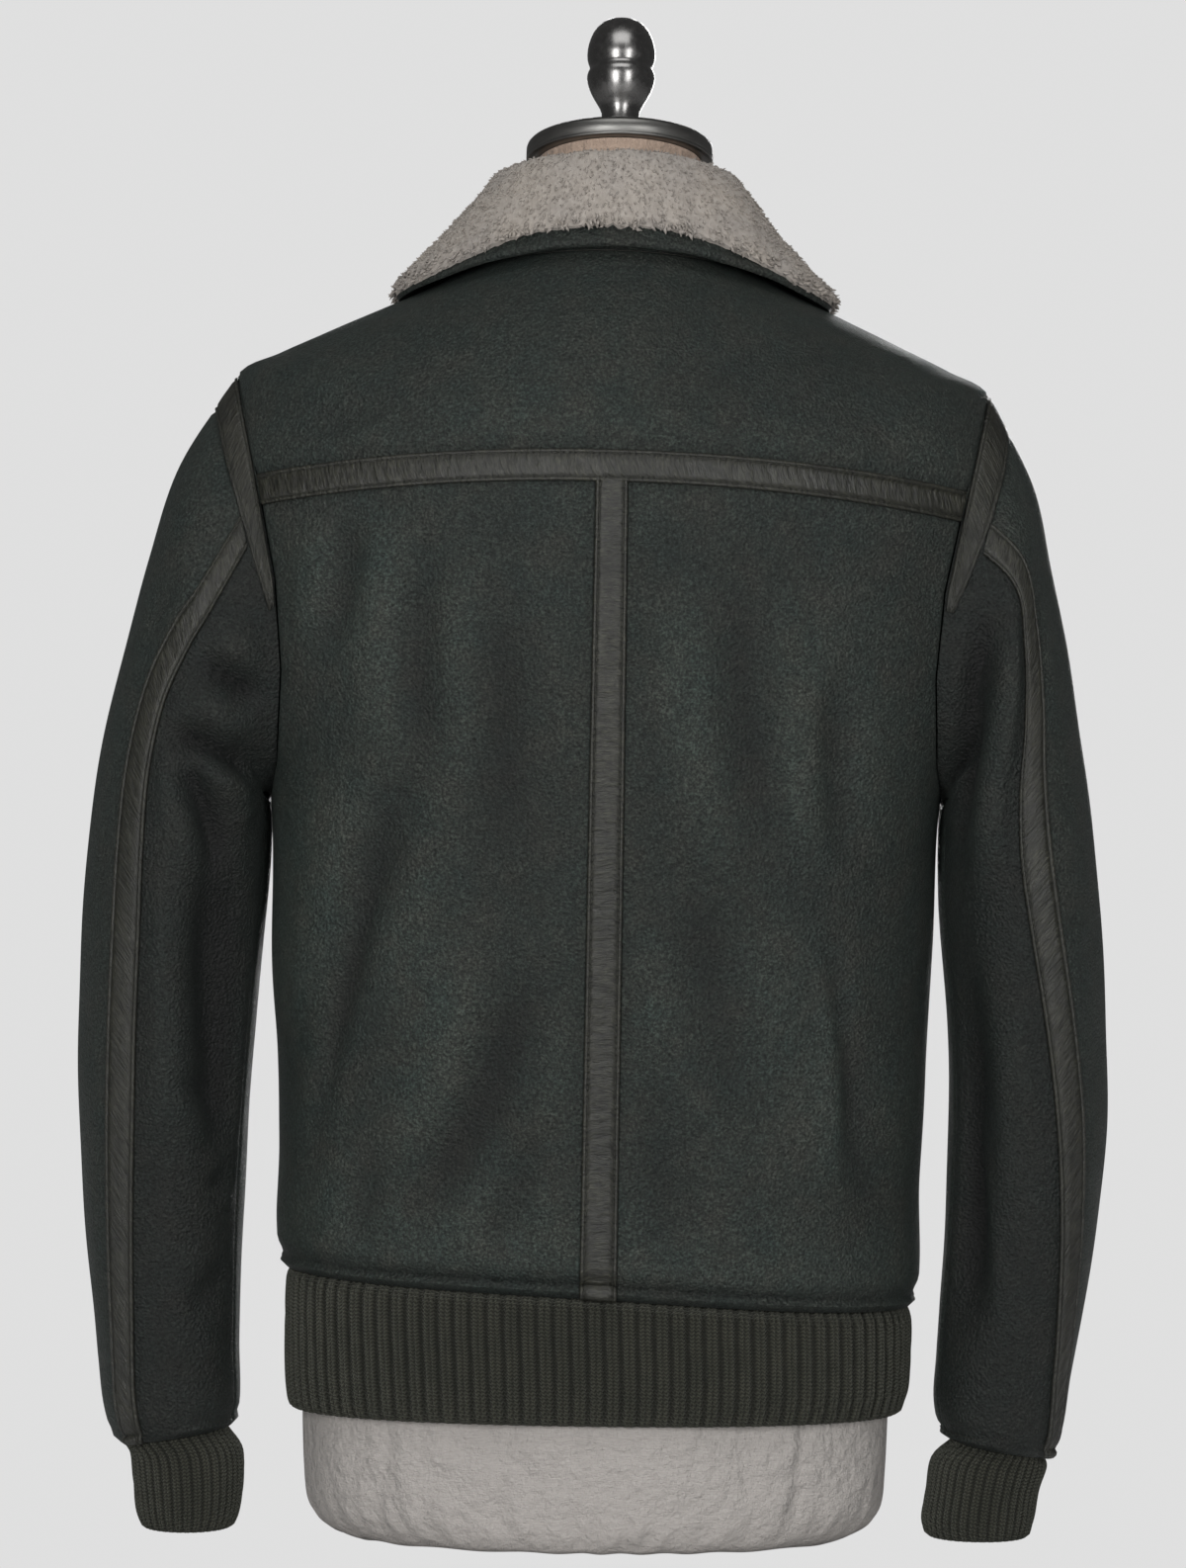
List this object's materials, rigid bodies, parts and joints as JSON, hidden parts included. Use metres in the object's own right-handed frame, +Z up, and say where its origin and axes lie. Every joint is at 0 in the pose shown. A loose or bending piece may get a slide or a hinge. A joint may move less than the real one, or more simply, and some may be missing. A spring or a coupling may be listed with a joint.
{
  "type": "sheepskin coat on a limbless dress form",
  "caption": "Worn sheepskin coat with knitted hem and cuffs, turned-down wool collar and zipped front, on a limbless linen dress form with a metal neck cap and finial.",
  "frame": {"origin": "middle of the box round the whole part, at the height of the form's flat base", "axes": "+X to the wearer's right, +Y out of the wearer's chest, +Z up; the back faces -Y"},
  "size_m": [0.5988, 0.2826, 0.8891],
  "materials": {
    "suede": "dark green sheepskin hide, soft sheen",
    "leather": "olive brown leather, semi-gloss",
    "knit": "dark green rib knit, matt",
    "pile": "undyed curly wool pile",
    "linen": "natural linen, matt",
    "steel": "dark brushed steel",
    "chrome": "polished dark steel",
    "tape": "woven tape, matt"
  },
  "bodies": {
    "coat_on_form": {"yoke": "suede", "back_left": "suede", "back_right": "suede", "front_left": "suede", "front_right": "suede", "sleeve_left_upper": "suede", "sleeve_left_under": "suede", "sleeve_right_upper": "suede", "sleeve_right_under": "suede", "strip_yoke": "leather", "strip_back": "leather", "strip_armhole_left": "leather", "strip_armhole_right": "leather", "strip_sleeve_left": "leather", "strip_sleeve_right": "leather", "hem_rib": "knit", "cuff_left": "knit", "cuff_right": "knit", "collar_hide": "suede", "collar_wool": "pile", "zip_tape_left": "tape", "zip_tape_right": "tape", "zip_chain": "steel", "zip_slider": "steel", "form_body": "linen", "form_cap": "steel", "form_finial": "chrome"},
    "pull_tab": {"zip_pull": "steel"}
  },
  "joints": [
    {"name": "pull_tab_hinge", "type": "hinge", "parent": "coat_on_form", "child": "pull_tab", "pos_m": [0.00777, 0.11148, 0.65685], "axis": [1, 0, 0], "range_deg": [0, 120]}
  ]
}
